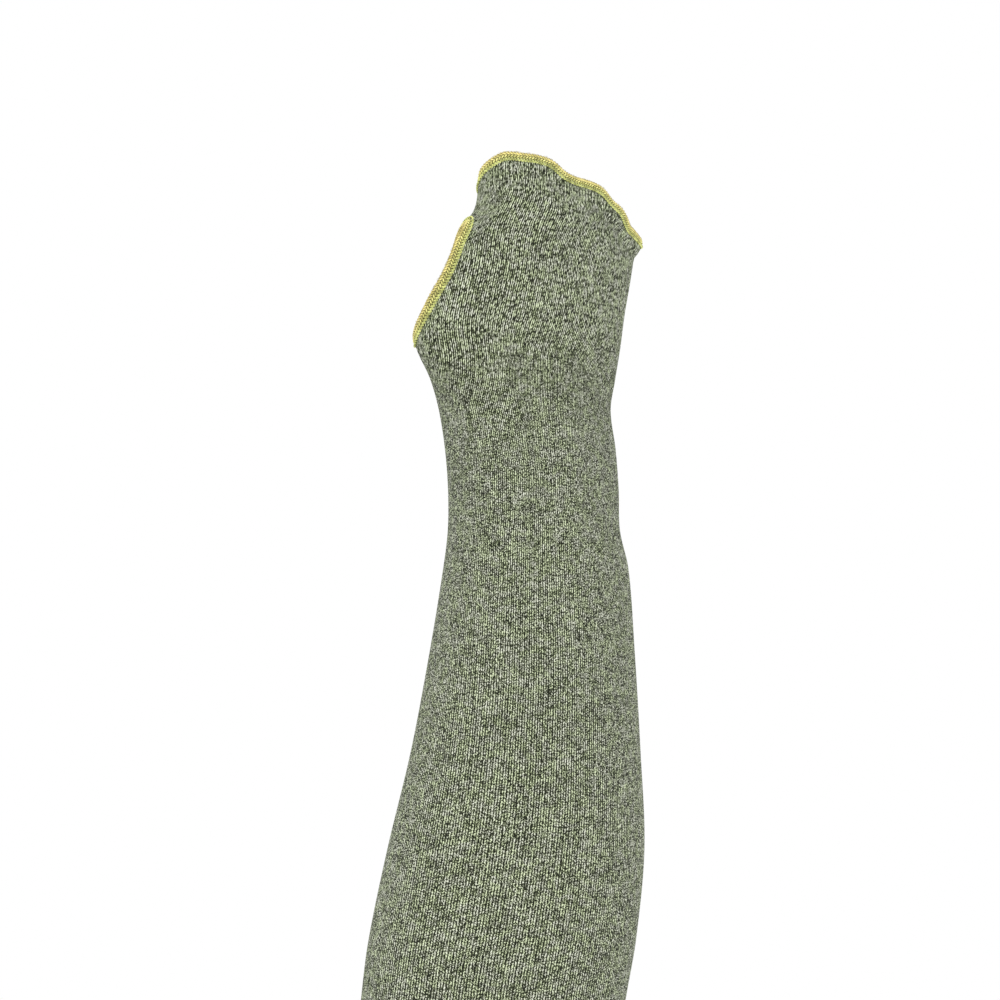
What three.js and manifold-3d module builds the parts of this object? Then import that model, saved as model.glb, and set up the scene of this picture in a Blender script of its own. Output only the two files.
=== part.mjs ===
// Cut resistant sleeve, knitted as one tube that runs from the knuckles past the elbow.
//
// Millimetres, +Z up along the arm toward the fingers. The origin is the middle of the
// wrist, where the worn sleeve is held. -Y is the side seen from the front: the back of
// the hand faces right and front, the thumb opening faces left.
import * as THREE from 'three';
import Module from 'manifold-3d';
import { LoftGeometry } from 'three/addons/geometries/LoftGeometry.js';
import { mergeVertices } from 'three/addons/utils/BufferGeometryUtils.js';

// Sizes of the sleeve
const handReach = 112;          // wrist to the height that the hand edge is measured down from
const armReach = 345;           // wrist to the arm end
const forearmWidth = 100;       // widest stretch of the forearm, seen from the front
const forearmDepth = 78;        // the same stretch, front to back
const knitWall = 1.5;           // thickness of the knit

// Sizes of the overlocked edging
const edgingWidth = 3.2;        // how far it reaches beyond the cut edge of the knit
const edgingThickness = 2.4;
const clearance = 0.3;          // free space between the knit and its edging
const flareReach = 2.2;         // how far the hand edge stands out where it curls most
const flareHeight = 8;          // stretch below the hand edge that curls

// Thumb opening: an eye-shaped slit on the side of the forefinger
const slitHeight = 49.5;
const slitMiddle = 62.5;        // wrist to the middle of the slit
const slitAngle = 168;          // degrees round the sleeve, at the middle of the slit
const slitLean = 5;             // degrees that its upper end turns toward the back of the hand
const slitTowardBack = 32;      // degrees from its middle to the edge on the back of the hand
const slitTowardPalm = 48;      // degrees from its middle to the edge on the palm

// Fineness of the facets
const facetsAround = 48;
const facetsAlong = 30;
const facetsRoundSlit = 32;
const facetsRoundEdging = 8;
const crowding = 0.45;          // how much closer the rows of facets lie on the hand

// Cross-sections from the arm end to the fingers. Each is an ellipse: its outline seen
// from the front runs from left to right, its short axis is the depth, its long axis is
// turned by so many degrees about Z, and its middle lies back from the origin.
// height is a share of armReach below the wrist and of handReach above it; left, right
// and back are shares of forearmWidth; depth is a share of forearmDepth.
const sections = [
  { height: -1.000, left: -0.782, right: 0.160, depth: 1.02, turn: 10, back: 0.02 },
  { height: -0.870, left: -0.737, right: 0.224, depth: 1.02, turn: 10, back: 0.03 },
  { height: -0.728, left: -0.681, right: 0.290, depth: 1.01, turn: 11, back: 0.04 },
  { height: -0.597, left: -0.636, right: 0.362, depth: 1.00, turn: 12, back: 0.05 },
  { height: -0.533, left: -0.608, right: 0.400, depth: 1.00, turn: 12, back: 0.05 },
  { height: -0.435, left: -0.538, right: 0.431, depth: 0.97, turn: 14, back: 0.05 },
  { height: -0.326, left: -0.448, right: 0.415, depth: 0.92, turn: 16, back: 0.04 },
  { height: -0.217, left: -0.377, right: 0.392, depth: 0.86, turn: 18, back: 0.02 },
  { height: -0.130, left: -0.328, right: 0.369, depth: 0.78, turn: 20, back: 0.01 },
  { height: -0.087, left: -0.310, right: 0.336, depth: 0.74, turn: 22, back: 0.00 },
  { height: -0.044, left: -0.309, right: 0.332, depth: 0.72, turn: 24, back: 0.00 },
  { height: 0.000, left: -0.320, right: 0.321, depth: 0.69, turn: 26, back: 0.00 },
  { height: 0.134, left: -0.343, right: 0.303, depth: 0.62, turn: 30, back: 0.00 },
  { height: 0.234, left: -0.374, right: 0.321, depth: 0.55, turn: 34, back: 0.00 },
  { height: 0.352, left: -0.429, right: 0.340, depth: 0.50, turn: 36, back: 0.00 },
  { height: 0.469, left: -0.412, right: 0.355, depth: 0.46, turn: 38, back: 0.00 },
  { height: 0.569, left: -0.370, right: 0.375, depth: 0.44, turn: 40, back: 0.01 },
  { height: 0.670, left: -0.317, right: 0.392, depth: 0.41, turn: 41, back: 0.02 },
  { height: 0.753, left: -0.252, right: 0.403, depth: 0.40, turn: 42, back: 0.03 },
  { height: 0.837, left: -0.195, right: 0.411, depth: 0.39, turn: 42, back: 0.04 },
  { height: 1.000, left: -0.184, right: 0.430, depth: 0.37, turn: 42, back: 0.05 },
];

// Hand edge: how high the knit reaches, once round. The angle runs counterclockwise as
// seen from the fingers, from the little finger (0) over the palm (90) and the
// forefinger (180) to the back of the hand (270). height is a share of handReach and
// flare is a share of flareReach.
const handEdge = [
  { angle: 0, height: 0.675, flare: 0.9 },
  { angle: 30, height: 0.700, flare: 0.4 },
  { angle: 60, height: 0.740, flare: 0.0 },
  { angle: 90, height: 0.780, flare: 0.0 },
  { angle: 120, height: 0.815, flare: 0.0 },
  { angle: 150, height: 0.850, flare: 0.0 },
  { angle: 170, height: 0.893, flare: 0.0 },
  { angle: 188, height: 0.940, flare: 0.0 },
  { angle: 206, height: 0.965, flare: 0.0 },
  { angle: 223, height: 0.963, flare: 0.0 },
  { angle: 240, height: 0.933, flare: 0.0 },
  { angle: 255, height: 0.893, flare: 0.0 },
  { angle: 270, height: 0.865, flare: 0.0 },
  { angle: 285, height: 0.838, flare: 0.0 },
  { angle: 300, height: 0.794, flare: 0.1 },
  { angle: 315, height: 0.735, flare: 0.5 },
  { angle: 337, height: 0.684, flare: 1.0 },
];

const fullTurn = 360;
const { degToRad, smoothstep } = THREE.MathUtils;

const knitMaterial = new THREE.MeshStandardMaterial({ color: 0x828773, roughness: 0.95, metalness: 0 });
const edgingMaterial = new THREE.MeshStandardMaterial({ color: 0xbebc79, roughness: 0.9, metalness: 0 });

const heightOfShare = (share) => share * (share < 0 ? armReach : handReach);
const armEdgeHeight = -armReach + edgingWidth + clearance;

const sectionCurve = new THREE.CubicInterpolant(
  sections.map((row) => heightOfShare(row.height)),
  sections.flatMap((row) => [
    row.left * forearmWidth,
    row.right * forearmWidth,
    row.depth * forearmDepth,
    row.turn,
    row.back * forearmWidth,
  ]),
  5,
);

const handEdgeRows = [...handEdge, { ...handEdge[0], angle: fullTurn }];
const handEdgeCurve = new THREE.CubicInterpolant(
  handEdgeRows.map((row) => row.angle),
  handEdgeRows.flatMap((row) => [row.height * handReach, row.flare * flareReach]),
  2,
);
handEdgeCurve.settings = {
  endingStart: THREE.WrapAroundEnding,
  endingEnd: THREE.WrapAroundEnding,
};

// Height of the knit's hand edge and its flare at an angle in degrees
function handEdgeAt(angle) {
  const [height, flare] = handEdgeCurve.evaluate(THREE.MathUtils.euclideanModulo(angle, fullTurn));
  return { height, flare };
}

// Point on the outside of the knit, without the flare
function ellipsePoint(angle, height) {
  const [left, right, depth, turn, back] = sectionCurve.evaluate(height);
  const phase = degToRad(angle);
  const skew = degToRad(turn);
  const halfWidth = (right - left) / 2;
  const halfDepth = depth / 2;
  const halfLength = Math.sqrt(halfWidth ** 2 - (halfDepth * Math.sin(skew)) ** 2) / Math.cos(skew);
  const along = halfLength * Math.cos(phase);
  const across = halfDepth * Math.sin(phase);
  return new THREE.Vector3(
    (left + right) / 2 + along * Math.cos(skew) - across * Math.sin(skew),
    back + along * Math.sin(skew) + across * Math.cos(skew),
    height,
  );
}

// Outward direction of the knit
function outward(angle, height) {
  const step = 0.5;
  const around = ellipsePoint(angle + step, height).sub(ellipsePoint(angle - step, height));
  const along = ellipsePoint(angle, height + step).sub(ellipsePoint(angle, height - step));
  return around.cross(along).normalize();
}

// Point of the knit, offset outward from its outer face
function knitPoint(angle, height, offset) {
  const edge = handEdgeAt(angle);
  const curl = edge.flare * smoothstep(height, edge.height - flareHeight, edge.height);
  return ellipsePoint(angle, height).addScaledVector(outward(angle, height), offset + curl);
}

// Ring of points once round the sleeve: share 0 is the arm edge and 1 the hand edge
function knitRing(share, offset) {
  const crowded = share + crowding * share * (1 - share);
  return Array.from({ length: facetsAround }, (_, column) => {
    const angle = (column / facetsAround) * fullTurn;
    const height = THREE.MathUtils.lerp(armEdgeHeight, handEdgeAt(angle).height, crowded);
    return knitPoint(angle, height, offset);
  });
}

// Closed surface through rings that each have the same number of points. A ring drawn
// together to one point closes an end, and its flat triangles are left out.
function closedLoft(rings) {
  const loft = new LoftGeometry(rings);
  const shell = new THREE.BufferGeometry();
  shell.setAttribute('position', loft.getAttribute('position'));
  shell.setIndex(loft.getIndex());
  const merged = mergeVertices(shell);
  const corners = Array.from(merged.getIndex().array);
  const kept = [];
  for (let first = 0; first < corners.length; first += 3) {
    const triangle = corners.slice(first, first + 3);
    if (new Set(triangle).size === 3) {
      kept.push(...triangle);
    }
  }
  merged.setIndex(kept);
  return merged;
}

function knitTube() {
  const shares = Array.from({ length: facetsAlong + 1 }, (_, row) => row / facetsAlong);
  const outside = shares.map((share) => knitRing(share, 0));
  const inside = shares.map((share) => knitRing(share, -knitWall)).reverse();
  return closedLoft([...outside, ...inside, outside[0]]);
}

// Place on the thumb slit's outline: turn runs counterclockwise from 0 to 1 as seen from
// outside, and reach is 1 on the outline and 0 in the middle of the slit
function slitPlace(turn, reach) {
  const phase = turn * 2 * Math.PI;
  const halfAngle = Math.cos(phase) > 0 ? slitTowardBack : slitTowardPalm;
  return {
    angle: slitAngle + reach * (slitLean * Math.sin(phase) + halfAngle * Math.cos(phase)),
    height: slitMiddle + reach * (slitHeight / 2) * Math.sin(phase),
  };
}

// Plug that fills the thumb slit and passes through the wall on both sides
function slitPlug() {
  const past = knitWall;
  const reaches = [0, 0.25, 0.5, 0.75, 1];
  const ring = (reach, offset) => Array.from({ length: facetsRoundSlit }, (_, step) => {
    const place = slitPlace(step / facetsRoundSlit, reach);
    return knitPoint(place.angle, place.height, offset);
  });
  const inside = reaches.map((reach) => ring(reach, -knitWall - past));
  const outside = reaches.map((reach) => ring(reach, past)).reverse();
  return closedLoft([...inside, ...outside]);
}

// Band of overlock stitches along a closed path on the knit. The path is traced so that
// the free side lies to its left as seen from outside.
function edgingLoop(path, count) {
  const midWall = -knitWall / 2;
  const step = 1e-3;
  const pointAt = (turn) => {
    const place = path(turn);
    return knitPoint(place.angle, place.height, midWall);
  };
  const rings = Array.from({ length: count }, (_, index) => {
    const turn = index / count;
    const place = path(turn);
    const ahead = pointAt(turn + step).sub(pointAt(turn - step)).normalize();
    const away = outward(place.angle, place.height).cross(ahead).normalize();
    const face = ahead.clone().cross(away);
    const middle = pointAt(turn).addScaledVector(away, clearance + edgingWidth / 2);
    return Array.from({ length: facetsRoundEdging }, (__, corner) => {
      const phase = ((corner + 0.5) / facetsRoundEdging) * 2 * Math.PI;
      return middle.clone()
        .addScaledVector(away, (edgingWidth / 2) * Math.cos(phase))
        .addScaledVector(face, (edgingThickness / 2) * Math.sin(phase));
    });
  });
  return closedLoft([...rings, rings[0]]);
}

const handPath = (turn) => {
  const angle = turn * fullTurn;
  return { angle, height: handEdgeAt(angle).height };
};
const slitPath = (turn) => slitPlace(turn, 1);
const armPath = (turn) => ({ angle: -turn * fullTurn, height: armEdgeHeight });

// Cutting with solids
const wasm = await Module();
wasm.setup();

function toSolid(geometry) {
  return new wasm.Manifold(new wasm.Mesh({
    numProp: 3,
    vertProperties: new Float32Array(geometry.attributes.position.array),
    triVerts: new Uint32Array(geometry.index.array),
  }));
}

function toGeometry(solid) {
  const mesh = solid.getMesh();
  const geometry = new THREE.BufferGeometry();
  geometry.setAttribute('position', new THREE.BufferAttribute(mesh.vertProperties, 3));
  geometry.setIndex(new THREE.BufferAttribute(mesh.triVerts, 1));
  return geometry;
}

const sleeve = new THREE.Group();

function addPiece(name, geometry, material) {
  const mesh = new THREE.Mesh(geometry, material);
  mesh.name = name;
  sleeve.add(mesh);
}

addPiece('knit_tube', toGeometry(toSolid(knitTube()).subtract(toSolid(slitPlug()))), knitMaterial);
addPiece('hand_edging', edgingLoop(handPath, facetsAround), edgingMaterial);
addPiece('thumb_edging', edgingLoop(slitPath, facetsRoundSlit), edgingMaterial);
addPiece('arm_edging', edgingLoop(armPath, facetsAround), edgingMaterial);

export default sleeve;
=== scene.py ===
"""Cut resistant sleeve: marled jersey knit with overlocked edges, in its worn form.

Metres, +Z up from the arm end to the hand edge, seen from -Y. The knit is a flat sheet of
stitches that is rolled to the sleeve's worn form, with the thumb opening cut in it.
"""
import math

import bmesh
import bpy
import numpy as np
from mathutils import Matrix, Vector


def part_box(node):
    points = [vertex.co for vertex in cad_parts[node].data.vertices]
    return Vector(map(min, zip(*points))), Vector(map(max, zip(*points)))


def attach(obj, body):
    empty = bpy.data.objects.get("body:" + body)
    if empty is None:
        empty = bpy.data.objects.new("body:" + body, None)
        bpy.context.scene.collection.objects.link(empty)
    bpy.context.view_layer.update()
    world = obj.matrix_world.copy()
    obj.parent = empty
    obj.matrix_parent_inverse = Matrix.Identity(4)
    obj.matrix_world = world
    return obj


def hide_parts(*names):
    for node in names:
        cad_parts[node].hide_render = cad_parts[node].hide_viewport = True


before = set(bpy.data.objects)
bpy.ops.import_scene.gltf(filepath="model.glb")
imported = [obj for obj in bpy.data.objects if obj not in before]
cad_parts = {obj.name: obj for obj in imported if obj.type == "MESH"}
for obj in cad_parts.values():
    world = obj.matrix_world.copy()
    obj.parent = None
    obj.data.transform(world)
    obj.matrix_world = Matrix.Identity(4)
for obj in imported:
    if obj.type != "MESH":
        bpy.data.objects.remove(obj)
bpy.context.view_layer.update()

# Sizes of the sleeve, in metres
HAND_REACH = 0.112
ARM_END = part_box("arm_edging")[0][2]
FOREARM_WIDTH = 0.100
FOREARM_DEPTH = 0.078
KNIT_WALL = 0.0015
EDGING_WIDTH = 0.0032
CLEARANCE = 0.0003              # gap between an edge's line and its band
FLARE_REACH = 0.0022            # how far the hand edge curls outward, and over what height
FLARE_HEIGHT = 0.0045

# Thumb opening, in metres and degrees
SLIT_HEIGHT = 0.0478
SLIT_MIDDLE = 0.0617
SLIT_ANGLE = 169.5
SLIT_LEAN = 7
SLIT_TOWARD_BACK = 31
SLIT_TOWARD_PALM = 48

# Knit: stitches once round, height of a course and how far a course drops to the right
WALES = 131
COURSE_HEIGHT = 0.00100
COURSE_DROP = math.tan(math.radians(8))
KNIT_COLUMNS = 132
KNIT_ROWS = 240
SEAM_ANGLE = 90                 # where the sheet's two sides meet, on the palm side
KNIT_INTO_EDGING = 0.0016       # how far the knit runs inside its overlocked edge

# Overlocking: the looper thread wraps the band, and a chain runs along each of its sides
STITCH_PITCH = 0.00115
THREAD_RADIUS = 0.00031
BAND_HALF_THICKNESS = 0.00100
HAND_BAND = 0.00125             # half widths of the three edges
THUMB_BAND = 0.00155
ARM_BAND = 0.00140
POINTS_PER_STITCH = 20
CHAIN_POINTS = 8
THREAD_SIDES = 6
CORE_POINTS = 360
CORE_SIDES = 12
STROKE_DIP = 0.25               # how far the thread dips between two strokes
SLANT = 0.50                    # how far the stitches lean along the band, in pitches
SLANTED_ROWS = 3                # rows of stitches that lean opposite ways
NEEDLE_WAVE = (0.00025, 0.0003)   # how far each chain sways and dips
RIM_WAVE = (0.0002, 0.0006)
RIM_GAP = 0.0001
EDGE_SAMPLES = 1440

# Loose fibres along the rim of an edge
FUZZ_FIBRES = 4
FUZZ_STEP = 0.00035
FUZZ_REACH = 0.00030
FUZZ_RADIUS = 0.00004
FUZZ_SIDES = 3
FUZZ_DEPTH = 1.5                # how much more a fibre strays in depth

# Places of an edge's materials
LOOPER_SLOT = 0
CORE_SLOT = 1
NEEDLE_SLOT = 2
RIM_SLOT = 3

# Surface of the knit and the threads
LEG_RISE = 0.9                  # courses that a leg climbs from the wale's middle to its side
ARC_RISE = 0.30                 # courses that an arc on the inner side swings up and down
YARN_RELIEF = 0.00030
ROW_RELIEF = 0.6                # share of the relief that is left between two rows
TWIST_RELIEF = 0.00004
TWIST_PLIES = (3.0, 2.0)        # plies of a thread along a stroke and around it
SHEEN_ROUGHNESS = 0.6
SPECULAR_LEVEL = 0.25
KNIT_UV = "wales_and_courses"
THREAD_UV = "along_and_around"
MERGE_DISTANCE = 1e-6
TINY = 1e-6                     # keeps a value off zero and off its upper end

# Marl: how much each part of the pattern lightens or darkens the yarn; the groove, wale and row
# parts are painted shade
MARL_MEAN = 0.247
# painted shade in the grooves beside the legs and inside the wales
GROOVE_SHADE_SHARE = 0.95
# painted shade where one row of legs meets the next
ROW_SHADE_SHARE = 0.25
WALE_SHADE_SHARE = 0.09               # painted shade: the groove between wales is lighter than the one inside a wale
DARK_SHARE = 0.16
DARK_FIBRES = 0.15              # part of the stitches in which the dark strand comes up
STITCH_SHARE = 0.20
STREAK_SHARE = 0.55
PATCH_SHARE = 0.38
DASH_SHARE = 0.40
GRAIN_SHARE = 2.7
FIBRE_SHARE = 3.4
HAND_FIBRE_SHARE = 2.9
HAND_FIBRE_MEAN = 0.478
FIBRE_PATCHES = (4.6, 1.9)      # across a wale and along a course
HAND_FIBRE_PATCHES = (4.4, 0.80)
HAND_FIBRE_LEAN = 0.09          # wales that a fibre leans for each course
# painted shade in the grooves, deeper near the hand edge
HAND_GROOVE_SHADE_SHARE = 1.00
HAND_WALE_SHADE_SHARE = 0.18
HAND_HEIGHTS = (0.005, 0.045)   # between these the knit grows wider and its fibres longer
STREAK_FREQUENCY = 0.25
PATCH_SCALE = (130, 130, 520)   # patches, dashes and grains a metre, along the courses
DASH_SCALE = (460, 460, 1500)
GRAIN_SCALE = (2700, 500, 2600)
PATCH_TURN = (0, math.radians(8), 0)
HUE_SCALE = 330.0
STREAK_SPREAD = 7.31            # how far apart two legs' streaks lie in their noise
NOISE_MEAN = 0.5
SINE_MEAN = 0.64                # mean of a sine over half a turn
STITCH_SEED = 1.0
STROKE_SEED = 3.0
FIBRE_SEED = 8.0

# Colours, dark to light: (place, linear colour)
MARL_STOPS = [
    (0.10, (0.0044, 0.0065, 0.0006)),
    (0.32, (0.0648, 0.0772, 0.0320)),
    (0.50, (0.2051, 0.2280, 0.1390)),
    (0.70, (0.4300, 0.4680, 0.3280)),
    (0.92, (0.7150, 0.7560, 0.5850)),
]
HUE_STOPS = [
    (0.38, (0.955, 1.005, 0.87)),
    (0.62, (1.005, 0.985, 1.07)),
]
EDGING_TONES = [
    (0.20, (0.64, 0.64, 0.60)),
    (0.50, (1.00, 1.00, 1.00)),
    (0.80, (1.30, 1.30, 1.45)),
]
OUTER_YELLOW = (0.74, 0.63, 0.21)
INNER_YELLOW = (0.66, 0.70, 0.22)
STROKE_SHADE = 0.55             # painted shade: how dark a stroke of thread is where it dips
STROKE_CREST = 0.8              # height of a stroke from which it is fully light
OWN_TONE_SHARE = 0.55
PATCH_TONE_SHARE = 0.45
EDGING_SCALE = 260.0
TURNED_SCALE = 900.0
# painted shade: dark colours of the turned edge between the stitches
SHADED_TURNED_STOPS = [
    (0.35, (0.06, 0.06, 0.015)),
    (0.65, (0.20, 0.19, 0.06)),
]

# Camera: the photo's frame is 0.375 m wide at the sleeve
CAMERA_X = -0.01144
CAMERA_Z = -0.01875
CAMERA_DISTANCE = 1.40625
CAMERA_LENS = 135
SENSOR_WIDTH = 36

# Floor and light: name, place and power of each lamp
LIGHTS = (
    ("left_light", (-1.2, -1.4, 0.9), 14),
    ("right_light", (1.3, -1.3, 0.7), 10),
)
LIGHT_SIZE = 1.0
WORLD_STRENGTH = 1.0
FLOOR_RADIUS = 0.9
FLOOR_SIDES = 96
FLOOR_DROP = 0.0005
FLOOR_GREY = 0.85

# Sections: height is a share of the reach down to the arm end (below 0) or up to the hand
# edge (above 0); left, right and back are shares of FOREARM_WIDTH, depth is a share of
# FOREARM_DEPTH and turn is in degrees about Z.
#    height  left   right  depth  turn  back
SECTIONS = [
    (-1.000, -0.782, 0.160, 1.02, 10, 0.02),
    (-0.870, -0.737, 0.224, 1.02, 10, 0.03),
    (-0.728, -0.681, 0.290, 1.01, 11, 0.04),
    (-0.597, -0.636, 0.362, 1.00, 12, 0.05),
    (-0.533, -0.608, 0.400, 1.00, 12, 0.05),
    (-0.435, -0.538, 0.431, 0.97, 14, 0.05),
    (-0.326, -0.448, 0.415, 0.92, 16, 0.04),
    (-0.217, -0.377, 0.392, 0.86, 18, 0.02),
    (-0.130, -0.328, 0.369, 0.78, 20, 0.01),
    (-0.087, -0.310, 0.336, 0.74, 22, 0.00),
    (-0.044, -0.309, 0.332, 0.72, 24, 0.00),
    (0.000, -0.320, 0.321, 0.69, 26, 0.00),
    (0.134, -0.343, 0.303, 0.62, 30, 0.00),
    (0.234, -0.374, 0.321, 0.55, 34, 0.00),
    (0.352, -0.429, 0.344, 0.50, 36, 0.00),
    (0.469, -0.412, 0.362, 0.46, 38, 0.00),
    (0.569, -0.370, 0.382, 0.44, 40, 0.01),
    (0.670, -0.314, 0.399, 0.41, 41, 0.02),
    (0.735, -0.258, 0.406, 0.40, 42, 0.03),
    (0.785, -0.214, 0.409, 0.40, 42, 0.03),
    (0.837, -0.199, 0.413, 0.39, 42, 0.04),
    (1.000, -0.184, 0.430, 0.37, 42, 0.05),
]

# Hand edge: angle in degrees round the sleeve, from 0 at its right over 90 at the palm
# side, height as a share of HAND_REACH and flare as a share of FLARE_REACH
#    angle  height  flare
HAND_EDGE = [
    (0, 0.691, 0.7),
    (30, 0.711, 0.4),
    (60, 0.740, 0.0),
    (90, 0.780, 0.0),
    (120, 0.815, 0.0),
    (150, 0.845, 0.0),
    (170, 0.878, 0.0),
    (180, 0.900, 0.0),
    (190, 0.918, 0.0),
    (200, 0.936, 0.0),
    (209, 0.949, 0.0),
    (222, 0.946, 0.0),
    (234, 0.941, 0.0),
    (243, 0.928, 0.0),
    (252, 0.895, 0.0),
    (261, 0.877, 0.0),
    (270, 0.868, 0.0),
    (280, 0.852, 0.1),
    (290, 0.813, 0.2),
    (299, 0.787, 0.3),
    (304, 0.763, 0.4),
    (310, 0.737, 0.5),
    (317, 0.723, 0.6),
    (324, 0.711, 0.7),
    (337, 0.694, 1.0),
]

# How far the wales are turned round the sleeve: height in metres, turn in wales
KNIT_TWIST = [
    (-0.345, -4.5),
    (-0.205, -5.1),
    (-0.175, -5.1),
    (-0.145, -4.2),
    (-0.115, -3.1),
    (-0.085, -2.0),
    (-0.055, -0.3),
    (-0.025, 1.0),
    (-0.010, 0.5),
    (0.000, -0.4),
    (0.010, -1.9),
    (0.020, -4.4),
    (0.030, -7.5),
    (0.040, -9.6),
    (0.050, -9.5),
    (0.060, -8.2),
    (0.070, -6.6),
    (0.080, -4.5),
    (0.090, -2.0),
    (0.100, 0.2),
    (0.115, 2.2),
]


# Form of the worn sleeve

def smooth_rows(rows, places):
    """Values at the given places of a smooth curve through a table's rows."""
    table = np.asarray(rows, float)
    stops, values = table[:, 0], table[:, 1:]
    slopes = np.empty_like(values)
    slopes[1:-1] = (values[2:] - values[:-2]) / (stops[2:] - stops[:-2])[:, None]
    slopes[0] = (values[1] - values[0]) / (stops[1] - stops[0])
    slopes[-1] = (values[-1] - values[-2]) / (stops[-1] - stops[-2])
    low = np.clip(np.searchsorted(stops, places, side="right") - 1, 0, len(stops) - 2)
    width = (stops[low + 1] - stops[low])[:, None]
    t = (places - stops[low])[:, None] / width
    return (
        values[low] * (1 + 2 * t) * (1 - t) ** 2
        + values[low + 1] * t ** 2 * (3 - 2 * t)
        + slopes[low] * width * t * (1 - t) ** 2
        + slopes[low + 1] * width * t ** 2 * (t - 1)
    )


SECTION_ROWS = [
    (
        height * (HAND_REACH if height > 0 else -ARM_END),
        left * FOREARM_WIDTH,
        right * FOREARM_WIDTH,
        depth * FOREARM_DEPTH,
        math.radians(turn),
        back * FOREARM_WIDTH,
    )
    for height, left, right, depth, turn, back in SECTIONS
]
HAND_EDGE_ROWS = [
    (angle + whole, height * HAND_REACH, flare * FLARE_REACH)
    for whole in (-360, 0, 360)
    for angle, height, flare in HAND_EDGE
]


def hand_edge_at(angle):
    """Height and flare of the hand edge at angles in degrees."""
    height, flare = smooth_rows(HAND_EDGE_ROWS, np.mod(angle, 360)).T
    return height, flare


def ellipse_points(angle, height):
    """Points on the sections' smooth form."""
    left, right, depth, turn, back = smooth_rows(SECTION_ROWS, height).T
    phase = np.radians(angle)
    half_width = (right - left) / 2
    half_depth = depth / 2
    skewed = half_width ** 2 - (half_depth * np.sin(turn)) ** 2
    along = np.sqrt(skewed) / np.cos(turn) * np.cos(phase)
    across = half_depth * np.sin(phase)
    x = (left + right) / 2 + along * np.cos(turn) - across * np.sin(turn)
    y = back + along * np.sin(turn) + across * np.cos(turn)
    return np.stack([x, y, height], axis=1)


def unit(vectors):
    return vectors / np.linalg.norm(vectors, axis=1, keepdims=True)


def outward(angle, height):
    """Directions that point straight out of the form."""
    swing, lift = 0.5, 0.0005
    around = ellipse_points(angle + swing, height) - ellipse_points(angle - swing, height)
    along = ellipse_points(angle, height + lift) - ellipse_points(angle, height - lift)
    return unit(np.cross(around, along))


def knit_points(angle, height, offset):
    """Points of the knit, offset outward from its outer face."""
    edge, flare = hand_edge_at(angle)
    rise = np.clip((height - edge + FLARE_HEIGHT) / FLARE_HEIGHT, 0, 1)
    curl = flare * rise ** 2 * (3 - 2 * rise)
    return ellipse_points(angle, height) + outward(angle, height) * (offset + curl)[:, None]


def slit_reach(angle, height):
    """Share of the way from the slit's middle (0) to its outline (1)."""
    rise = (height - SLIT_MIDDLE) / (SLIT_HEIGHT / 2)
    swing = angle - SLIT_ANGLE - SLIT_LEAN * rise
    half_angle = np.where(swing > 0, SLIT_TOWARD_BACK, SLIT_TOWARD_PALM)
    return np.hypot(swing / half_angle, rise)


# Paths of the three edges, as angle and height for turns from 0 to 1

def hand_path(turn):
    angle = 360 * turn
    return angle, hand_edge_at(angle)[0]


def slit_path(turn):
    phase = 2 * math.pi * turn
    half_angle = np.where(np.cos(phase) > 0, SLIT_TOWARD_BACK, SLIT_TOWARD_PALM)
    angle = SLIT_ANGLE + SLIT_LEAN * np.sin(phase) + half_angle * np.cos(phase)
    return angle, SLIT_MIDDLE + SLIT_HEIGHT / 2 * np.sin(phase)


def arm_path(turn):
    edge = ARM_END + EDGING_WIDTH + CLEARANCE
    return -360 * turn, np.full(turn.shape, edge)


# Meshes

def new_object(name, mesh):
    piece = bpy.data.objects.new(name, mesh)
    bpy.context.scene.collection.objects.link(piece)
    return piece


def flat_sheet(columns, rows):
    """A flat sheet of faces from 0 to 1 each way, with its columns and rows."""
    sheet = bmesh.new()
    bmesh.ops.create_grid(sheet, x_segments=columns, y_segments=rows, size=0.5)
    bmesh.ops.translate(sheet, verts=sheet.verts, vec=(0.5, 0.5, 0))
    sheet.verts.ensure_lookup_table()
    flat = np.array([vertex.co for vertex in sheet.verts])
    return sheet, flat[:, 0], flat[:, 1]


def set_uv(sheet, name, u, v):
    layer = sheet.loops.layers.uv.new(name)
    for face in sheet.faces:
        for loop in face.loops:
            loop[layer].uv = (u[loop.vert.index], v[loop.vert.index])


def place_points(sheet, points):
    for vertex, point in zip(sheet.verts, points):
        vertex.co = point


def to_object(sheet, name):
    """A smooth piece from a bmesh, which is freed."""
    for face in sheet.faces:
        face.smooth = True
    mesh = bpy.data.meshes.new(name)
    sheet.to_mesh(mesh)
    sheet.free()
    return new_object(name, mesh)


def row_numbers(across, up, points):
    """Wale numbers on the regular sheet, counted along each of its rows."""
    order = np.lexsort((across, up))
    lined = points[order].reshape(KNIT_ROWS + 1, KNIT_COLUMNS + 1, 3)
    steps = np.linalg.norm(np.diff(lined, axis=1), axis=2)
    reached = np.concatenate([np.zeros((KNIT_ROWS + 1, 1)), np.cumsum(steps, axis=1)], axis=1)
    return reached / reached[:, -1:] * WALES


def between_numbers(numbers, across, up):
    """Wale numbers at any place of the sheet, between those of its grid."""
    column = np.clip(across * KNIT_COLUMNS, 0, KNIT_COLUMNS - TINY)
    row = np.clip(up * KNIT_ROWS, 0, KNIT_ROWS - TINY)
    i, j = column.astype(int), row.astype(int)
    s, t = column - i, row - j
    low = numbers[j, i] * (1 - s) + numbers[j, i + 1] * s
    high = numbers[j + 1, i] * (1 - s) + numbers[j + 1, i + 1] * s
    return low * (1 - t) + high * t


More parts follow.
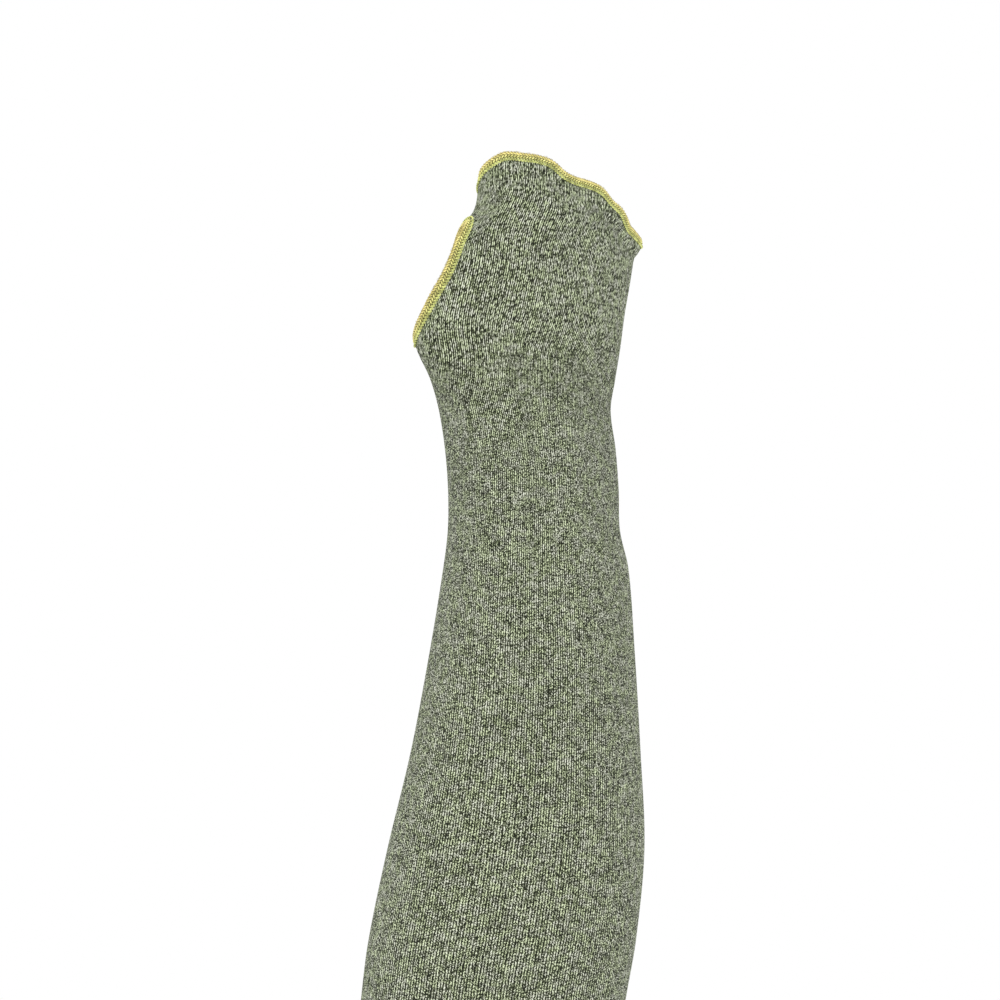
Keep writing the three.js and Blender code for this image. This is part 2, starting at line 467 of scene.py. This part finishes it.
def knit_sleeve():
    """The knit as a flat sheet, rolled to the worn form and cut at the thumb opening."""
    sheet, across, up = flat_sheet(KNIT_COLUMNS, KNIT_ROWS)
    arm_edge = ARM_END + EDGING_WIDTH + CLEARANCE - KNIT_INTO_EDGING

    def height_at(angle, share):
        return arm_edge + (hand_edge_at(angle)[0] + KNIT_INTO_EDGING - arm_edge) * share

    angle = SEAM_ANGLE + 360 * across
    height = height_at(angle, up)
    numbers = row_numbers(across, up, knit_points(angle, height, 0 * angle))

    # The thumb opening: whole faces go, and the points left inside move onto its outline
    outline = 1 - 2 * KNIT_INTO_EDGING / SLIT_HEIGHT
    reach = slit_reach(angle, height)
    inside = reach < outline
    pull = np.where(inside, outline / np.maximum(reach, TINY), 1)
    angle = SLIT_ANGLE + (angle - SLIT_ANGLE) * pull
    height = SLIT_MIDDLE + (height - SLIT_MIDDLE) * pull
    across = (angle - SEAM_ANGLE) / 360
    up = (height - arm_edge) / (height_at(angle, 1) - arm_edge)

    points = knit_points(angle, height, 0 * angle)
    courses = (points[:, 2] + COURSE_DROP * points[:, 0]) / COURSE_HEIGHT
    wales = between_numbers(numbers, across, up) + smooth_rows(KNIT_TWIST, height)[:, 0]
    set_uv(sheet, KNIT_UV, wales, courses)
    place_points(sheet, points)
    cut = [face for face in sheet.faces if all(inside[vertex.index] for vertex in face.verts)]
    bmesh.ops.delete(sheet, geom=cut, context="FACES")
    bmesh.ops.remove_doubles(sheet, verts=sheet.verts, dist=MERGE_DISTANCE)
    return to_object(sheet, "knit_sleeve")


# Overlocked edges

class Edge:
    """Closed path of an edging: its middle line and its directions, by length."""

    def __init__(self, path):
        turn = np.arange(EDGE_SAMPLES) / EDGE_SAMPLES
        angle, height = path(turn)
        rim = knit_points(angle, height, np.full(EDGE_SAMPLES, -KNIT_WALL / 2))
        ahead = unit(np.roll(rim, -1, axis=0) - np.roll(rim, 1, axis=0))
        self.away = unit(np.cross(outward(angle, height), ahead))
        self.face = np.cross(ahead, self.away)
        self.middle = rim + self.away * (CLEARANCE + EDGING_WIDTH / 2)
        steps = np.linalg.norm(np.roll(self.middle, -1, axis=0) - self.middle, axis=1)
        self.places = np.concatenate([[0], np.cumsum(steps)[:-1]])
        self.length = steps.sum()

    def at(self, values, place):
        return np.stack([
            np.interp(place, self.places, column, period=self.length) for column in values.T
        ], axis=1)

    def points(self, place, away, face):
        """Points at a length along the edge, off its middle line by away and face."""
        return (
            self.at(self.middle, place)
            + self.at(self.away, place) * away[:, None]
            + self.at(self.face, place) * face[:, None]
        )


def rolled_tube(line, reference, strokes, radius=THREAD_RADIUS, sides=THREAD_SIDES):
    """A closed thread along the line, from a flat strip rolled round it.

    The strokes number each point and, once more, the first one at the end.
    """
    count = len(line)
    sheet, along, around = flat_sheet(count, sides)
    step = np.rint(along * count).astype(int)
    ahead = unit(np.roll(line, -1, axis=0) - np.roll(line, 1, axis=0))
    side = unit(np.cross(ahead, reference))
    up = np.cross(side, ahead)
    turn = -2 * math.pi * around[:, None]
    ring = side[step % count] * np.cos(turn) + up[step % count] * np.sin(turn)
    set_uv(sheet, THREAD_UV, strokes[step], around)
    place_points(sheet, line[step % count] + radius * ring)
    bmesh.ops.remove_doubles(sheet, verts=sheet.verts, dist=MERGE_DISTANCE)
    return sheet


def wrapped_thread(edge, stitches, half_width):
    """The looper thread: it goes round the band once a stitch, in slanted strokes."""
    turns = np.arange(stitches * POINTS_PER_STITCH + 1) / POINTS_PER_STITCH
    phase = 2 * math.pi * turns
    crossed = (1 - np.cos(phase)) / 2
    coming = np.mod(turns, 1) > 0.5
    strokes = SLANTED_ROWS * (2 * np.floor(turns) + np.where(coming, 2 - crossed, crossed))
    lean = 1 - 2 * np.abs(np.mod(SLANTED_ROWS * crossed / 2, 1) * 2 - 1)
    swell = 1 - STROKE_DIP + STROKE_DIP * np.abs(np.sin(math.pi * SLANTED_ROWS * crossed))
    place = (turns / stitches * edge.length + SLANT * STITCH_PITCH * lean)[:-1]
    away = (half_width * np.cos(phase))[:-1]
    face = (BAND_HALF_THICKNESS * np.sin(phase) * swell)[:-1]
    line = edge.points(place, away, face)
    reference = unit(line - edge.at(edge.middle, place))
    return rolled_tube(line, reference, strokes)


def chained_thread(edge, stitches, away, face, wave):
    """A thread that runs along the band and sways and dips once a stitch."""
    sway, dip = wave
    turns = np.arange(stitches * CHAIN_POINTS + 1) / CHAIN_POINTS
    phase = 2 * math.pi * turns[:-1]
    place = turns[:-1] / stitches * edge.length
    line = edge.points(place, away + sway * np.sin(phase), face + dip * np.cos(phase))
    return rolled_tube(line, edge.at(edge.away, place), turns)


def loose_fibre(edge, away, seed):
    """A fine fibre that strays in and out along the rim, as worn thread does."""
    count = round(edge.length / FUZZ_STEP)
    stray = np.random.default_rng(seed).normal(size=(3, count))
    stray = (stray + np.roll(stray, 1, axis=1)) * FUZZ_REACH / 2
    share = np.arange(count + 1) / count
    place = share[:-1] * edge.length + stray[0]
    line = edge.points(place, away + stray[1], stray[2] * FUZZ_DEPTH)
    reference = edge.at(edge.away, place)
    return rolled_tube(line, reference, share, FUZZ_RADIUS, FUZZ_SIDES)


def band_core(edge, half_width):
    """The knit's turned edge under the stitches, which lets nothing show through."""
    sheet, along, around = flat_sheet(CORE_POINTS, CORE_SIDES)
    turn = -2 * math.pi * around
    place = along * edge.length
    away = (half_width - THREAD_RADIUS) * np.cos(turn)
    face = (BAND_HALF_THICKNESS - THREAD_RADIUS / 2) * np.sin(turn)
    set_uv(sheet, THREAD_UV, place / STITCH_PITCH, around)
    place_points(sheet, edge.points(place, away, face))
    bmesh.ops.remove_doubles(sheet, verts=sheet.verts, dist=MERGE_DISTANCE)
    return sheet


def joined(name, parts):
    """One piece from several bmeshes, each with the slot of its material."""
    whole = bmesh.new()
    for slot, part in parts:
        for face in part.faces:
            face.material_index = slot
        mesh = bpy.data.meshes.new("part")
        part.to_mesh(mesh)
        part.free()
        whole.from_mesh(mesh)
        bpy.data.meshes.remove(mesh)
    return to_object(whole, name)


def overlocked_edge(name, path, half_width):
    """A band of stitches: its core, three threads and the loose fibres of its rim."""
    edge = Edge(path)
    stitches = round(edge.length / STITCH_PITCH)
    rim = half_width + RIM_GAP
    parts = [
        (CORE_SLOT, band_core(edge, half_width)),
        (LOOPER_SLOT, wrapped_thread(edge, stitches, half_width)),
        (NEEDLE_SLOT, chained_thread(edge, stitches, -half_width, BAND_HALF_THICKNESS, NEEDLE_WAVE)),
        (RIM_SLOT, chained_thread(edge, stitches, rim, 0.0, RIM_WAVE)),
    ]
    for seed in range(FUZZ_FIBRES):
        parts.append((RIM_SLOT, loose_fibre(edge, half_width + THREAD_RADIUS, seed)))
    return joined(name, parts)


# Materials

class Shader:
    """A material's node tree, with short calls for the nodes that it uses."""

    def __init__(self, name):
        self.material = bpy.data.materials.new(name)
        self.material.use_nodes = True
        self.tree = self.material.node_tree
        self.surface = self.tree.nodes["Principled BSDF"]

    def node(self, kind, inputs=(), **settings):
        node = self.tree.nodes.new(kind)
        for key, value in settings.items():
            setattr(node, key, value)
        for key, value in dict(inputs).items():
            self.put(node.inputs[key], value)
        return node

    def put(self, socket, value):
        if isinstance(value, bpy.types.NodeSocket):
            self.tree.links.new(value, socket)
        else:
            socket.default_value = value

    def math(self, operation, *values):
        node = self.tree.nodes.new("ShaderNodeMath")
        node.operation = operation
        for socket, value in zip(node.inputs, values):
            self.put(socket, value)
        return node.outputs[0]

    def plus(self, first, second):
        return self.math("ADD", first, second)

    def less(self, first, second):
        return self.math("SUBTRACT", first, second)

    def times(self, first, second):
        return self.math("MULTIPLY", first, second)

    def vector(self, x, y, z=0.0):
        return self.node("ShaderNodeCombineXYZ", {"X": x, "Y": y, "Z": z}).outputs[0]

    def uv(self, name):
        node = self.node("ShaderNodeUVMap", uv_map=name)
        parts = self.node("ShaderNodeSeparateXYZ", {"Vector": node.outputs[0]})
        return parts.outputs[0], parts.outputs[1]

    def place(self):
        return self.node("ShaderNodeTexCoord").outputs["Object"]

    def height(self):
        return self.node("ShaderNodeSeparateXYZ", {"Vector": self.place()}).outputs["Z"]

    def noise(self, vector, scale, detail):
        inputs = {"Vector": vector, "Scale": scale, "Detail": detail, "Roughness": 0.5}
        return self.node("ShaderNodeTexNoise", inputs).outputs["Fac"]

    def patches(self, scale, detail):
        """Noise in the piece's own place, stretched along its courses."""
        inputs = {"Vector": self.place(), "Rotation": PATCH_TURN, "Scale": scale}
        return self.noise(self.node("ShaderNodeMapping", inputs).outputs[0], 1.0, detail)

    def random(self, x, y, seed):
        inputs = {"Vector": self.vector(x, y, seed)}
        node = self.node("ShaderNodeTexWhiteNoise", inputs, noise_dimensions="3D")
        return node.outputs["Value"]

    def grey(self, value):
        inputs = {"Red": value, "Green": value, "Blue": value}
        return self.node("ShaderNodeCombineColor", inputs).outputs[0]

    def between(self, value, low, high, to_low=0.0, to_high=1.0):
        """The value's place from low to high, as one from to_low to to_high."""
        inputs = {"Value": value, "From Min": low, "From Max": high}
        inputs.update({"To Min": to_low, "To Max": to_high})
        return self.node("ShaderNodeMapRange", inputs).outputs[0]

    def blend(self, share, first, second):
        return self.between(share, 0.0, 1.0, first, second)

    def mix(self, share, first, second, blend="MIX"):
        node = self.node("ShaderNodeMix", data_type="RGBA", blend_type=blend)
        self.put(node.inputs["Factor"], share)
        self.put(node.inputs[6], first)
        self.put(node.inputs[7], second)
        return node.outputs[2]

    def tinted(self, color, tint):
        return self.mix(1.0, color, tint, "MULTIPLY")

    def ramp(self, value, stops):
        node = self.node("ShaderNodeValToRGB", {"Fac": value})
        elements = node.color_ramp.elements
        while len(elements) < len(stops):
            elements.new(0.5)
        for element, (place, color) in zip(elements, stops):
            element.position = place
            element.color = (*color, 1)
        return node.outputs["Color"]

    def sum_of(self, terms):
        """Sum of the terms, each a value less its mean and the share it gets."""
        total = None
        for value, mean, share in terms:
            part = self.times(self.less(value, mean), share)
            total = part if total is None else self.plus(total, part)
        return total

    def raise_by(self, height, depth):
        """Lifts the surface by a height map, with its depth in metres."""
        inputs = {"Height": height, "Distance": depth, "Strength": 1.0}
        bump = self.node("ShaderNodeBump", inputs)
        self.put(self.surface.inputs["Normal"], bump.outputs[0])

    def finish(self, color, roughness, sheen):
        self.put(self.surface.inputs["Base Color"], color)
        self.surface.inputs["Roughness"].default_value = roughness
        self.surface.inputs["Sheen Weight"].default_value = sheen
        self.surface.inputs["Sheen Roughness"].default_value = SHEEN_ROUGHNESS
        self.surface.inputs["Specular IOR Level"].default_value = SPECULAR_LEVEL
        return self.material


class Stitch:
    """Where a point lies in its stitch, worked out from the knit's UV."""

    def __init__(self, shader, inner):
        self.wale, self.course = shader.uv(KNIT_UV)
        self.wale_wave = shader.math("COSINE", shader.times(self.wale, 2 * math.pi))
        from_middle = shader.math("PINGPONG", shader.plus(self.wale, 0.5), 0.5)
        from_middle = shader.times(from_middle, 2.0)
        if inner:
            self.climbing = shader.plus(self.course, shader.times(self.wale_wave, ARC_RISE))
        else:
            self.climbing = shader.less(self.course, shader.times(from_middle, LEG_RISE))
        self.row = shader.math("FLOOR", self.climbing)
        half_wale = shader.math("FLOOR", shader.times(self.wale, 2.0))
        self.leg = shader.math("FLOORED_MODULO", half_wale, 2.0 * WALES)
        in_row = shader.math("FRACT", self.climbing)
        self.across_leg = shader.math("SINE", shader.times(from_middle, math.pi))
        self.along_leg = shader.math("SINE", shader.times(in_row, math.pi))
        if inner:
            self.across_leg, self.along_leg = self.along_leg, self.across_leg


def streaks(shader, stitch):
    """Tone that runs on from stitch to stitch along each leg."""
    column = shader.times(stitch.leg, STREAK_SPREAD)
    climb = shader.times(stitch.climbing, STREAK_FREQUENCY)
    return shader.noise(shader.vector(column, climb), 1.0, 0.0)


def fibre_noise(shader, wale, course, patches):
    across, along = patches
    place = shader.vector(shader.times(wale, across), shader.times(course, along), FIBRE_SEED)
    return shader.noise(place, 1.0, 1.0)


def fibres(shader, stitch, near_hand_edge):
    """Fibres of the yarn, which are longer and lean near the hand edge."""
    leaning = shader.less(stitch.wale, shader.times(stitch.course, HAND_FIBRE_LEAN))
    upright = fibre_noise(shader, stitch.wale, stitch.climbing, FIBRE_PATCHES)
    longer = fibre_noise(shader, leaning, stitch.climbing, HAND_FIBRE_PATCHES)
    plain = shader.sum_of([
        (upright, NOISE_MEAN, FIBRE_SHARE),
        (shader.patches(GRAIN_SCALE, 1.0), NOISE_MEAN, GRAIN_SHARE),
    ])
    stretched = shader.sum_of([(longer, HAND_FIBRE_MEAN, HAND_FIBRE_SHARE)])
    return shader.blend(near_hand_edge, plain, stretched)


def groove_shade(shader, stitch, near_hand_edge):
    """Painted shade in the grooves beside the legs and between the wales, deeper near the hand edge.
    """
    plain = shader.sum_of([
        (stitch.across_leg, SINE_MEAN, GROOVE_SHADE_SHARE),
        (stitch.wale_wave, 0.0, WALE_SHADE_SHARE),
    ])
    stretched = shader.sum_of([
        (stitch.across_leg, SINE_MEAN, HAND_GROOVE_SHADE_SHARE),
        (stitch.wale_wave, 0.0, HAND_WALE_SHADE_SHARE),
    ])
    return shader.blend(near_hand_edge, plain, stretched)


def jersey(name, inner):
    """Plain knit: V-shaped stitches outside, rows of small arcs inside."""
    shader = Shader(name)
    stitch = Stitch(shader, inner)
    near_hand_edge = shader.between(shader.height(), *HAND_HEIGHTS)
    single = shader.random(stitch.leg, stitch.row, STITCH_SEED)
    marl_and_shade = shader.sum_of([
        # painted shade in the grooves
        (groove_shade(shader, stitch, near_hand_edge), 0.0, 1.0),
        # painted shade where one row of legs meets the next
        (stitch.along_leg, SINE_MEAN, ROW_SHADE_SHARE),
        (shader.between(single, 0.0, DARK_FIBRES), 1.0, DARK_SHARE),
        (single, NOISE_MEAN, STITCH_SHARE),
        (streaks(shader, stitch), NOISE_MEAN, STREAK_SHARE),
        (shader.patches(PATCH_SCALE, 1.0), NOISE_MEAN, PATCH_SHARE),
        (shader.patches(DASH_SCALE, 0.0), NOISE_MEAN, DASH_SHARE),
        (fibres(shader, stitch, near_hand_edge), 0.0, 1.0),
    ])
    hue = shader.ramp(shader.noise(shader.place(), HUE_SCALE, 1.0), HUE_STOPS)
    color = shader.tinted(shader.ramp(shader.plus(marl_and_shade, MARL_MEAN), MARL_STOPS), hue)
    row_relief = shader.between(stitch.along_leg, 0.0, 1.0, ROW_RELIEF, 1.0)
    shader.raise_by(shader.times(stitch.across_leg, row_relief), YARN_RELIEF)
    return shader.finish(color, roughness=0.9, sheen=0.05)


def overlock_thread(name, outer, inner):
    """Yellow thread: each stroke has its own tone, and painted shade darkens it where it dips."""
    shader = Shader(name)
    stroke, around = shader.uv(THREAD_UV)
    inward = shader.math("DIVIDE", shader.math("PINGPONG", stroke, SLANTED_ROWS), SLANTED_ROWS)
    color = shader.mix(inward, (*outer, 1), (*inner, 1))

    own = shader.random(shader.math("FLOOR", stroke), 0.0, STROKE_SEED)
    patch = shader.noise(shader.place(), EDGING_SCALE, 1.0)
    tone = shader.plus(shader.times(own, OWN_TONE_SHARE), shader.times(patch, PATCH_TONE_SHARE))
    color = shader.tinted(color, shader.ramp(tone, EDGING_TONES))

    # painted shade where the thread dips between strokes
    bulge = shader.math("ABSOLUTE", shader.math("SINE", shader.times(stroke, math.pi)))
    shade = shader.between(bulge, 0.0, STROKE_CREST, STROKE_SHADE, 1.0)
    color = shader.tinted(color, shader.grey(shade))

    plies_along, plies_around = TWIST_PLIES
    plies = shader.plus(shader.times(stroke, plies_along), shader.times(around, plies_around))
    twist = shader.math("SINE", shader.times(plies, 2 * math.pi))
    shader.raise_by(twist, TWIST_RELIEF)
    return shader.finish(color, roughness=0.85, sheen=0.2)


def shaded_turned_edge():
    """Dark knit that shows between the stitches of the overlocking; its darkness is painted shade.
    """
    shader = Shader("shaded_turned_edge")
    color = shader.ramp(shader.noise(shader.place(), TURNED_SCALE, 2.0), SHADED_TURNED_STOPS)
    return shader.finish(color, roughness=0.9, sheen=0.1)


# The object

sleeve = knit_sleeve()
sleeve.data.materials.append(jersey("marled_jersey", False))
sleeve.data.materials.append(jersey("marled_jersey_inside", True))
wall = sleeve.modifiers.new("wall", "SOLIDIFY")
wall.thickness = KNIT_WALL
wall.offset = -1
wall.material_offset = 1
wall.material_offset_rim = 1
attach(sleeve, "root")
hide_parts("knit_tube")

edge_materials = [
    overlock_thread("overlock_thread", OUTER_YELLOW, INNER_YELLOW),
    shaded_turned_edge(),
    overlock_thread("needle_thread", INNER_YELLOW, INNER_YELLOW),
    overlock_thread("rim_thread", OUTER_YELLOW, OUTER_YELLOW),
]
edges = (
    ("hand_edging", hand_path, HAND_BAND),
    ("thumb_edging", slit_path, THUMB_BAND),
    ("arm_edging", arm_path, ARM_BAND),
)
for node, path, half_width in edges:
    overlock = overlocked_edge(node.replace("edging", "overlock"), path, half_width)
    for material in edge_materials:
        overlock.data.materials.append(material)
    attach(overlock, "root")
    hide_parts(node)


# Floor, light and camera

def pale_floor():
    floor = bmesh.new()
    bmesh.ops.create_circle(floor, cap_ends=True, segments=FLOOR_SIDES, radius=FLOOR_RADIUS)
    bmesh.ops.translate(floor, verts=floor.verts, vec=(0, 0, ARM_END - FLOOR_DROP))
    piece = to_object(floor, "floor")
    shader = Shader("pale_floor")
    shader.surface.inputs["Base Color"].default_value = (FLOOR_GREY, FLOOR_GREY, FLOOR_GREY, 1)
    shader.surface.inputs["Roughness"].default_value = 0.9
    piece.data.materials.append(shader.material)


def soft_light(name, place, power):
    lamp = bpy.data.lights.new(name, "AREA")
    lamp.shape = "DISK"
    lamp.size = LIGHT_SIZE
    lamp.energy = power
    light = bpy.data.objects.new(name, lamp)
    light.location = place
    target = Vector((CAMERA_X, 0, CAMERA_Z))
    light.rotation_euler = (target - Vector(place)).to_track_quat("-Z", "Y").to_euler()
    bpy.context.scene.collection.objects.link(light)


def white_room():
    world = bpy.data.worlds.new("white_room")
    world.use_nodes = True
    background = world.node_tree.nodes["Background"]
    background.inputs["Color"].default_value = (1, 1, 1, 1)
    background.inputs["Strength"].default_value = WORLD_STRENGTH
    bpy.context.scene.world = world
    bpy.context.scene.view_settings.view_transform = "Standard"


def photo_camera():
    lens = bpy.data.cameras.new("camera")
    lens.lens = CAMERA_LENS
    lens.sensor_width = SENSOR_WIDTH
    camera = bpy.data.objects.new("camera", lens)
    camera.location = (CAMERA_X, -CAMERA_DISTANCE, CAMERA_Z)
    camera.rotation_euler = (math.pi / 2, 0, 0)
    bpy.context.scene.collection.objects.link(camera)
    bpy.context.scene.camera = camera


pale_floor()
white_room()
for name, place, power in LIGHTS:
    soft_light(name, place, power)
photo_camera()
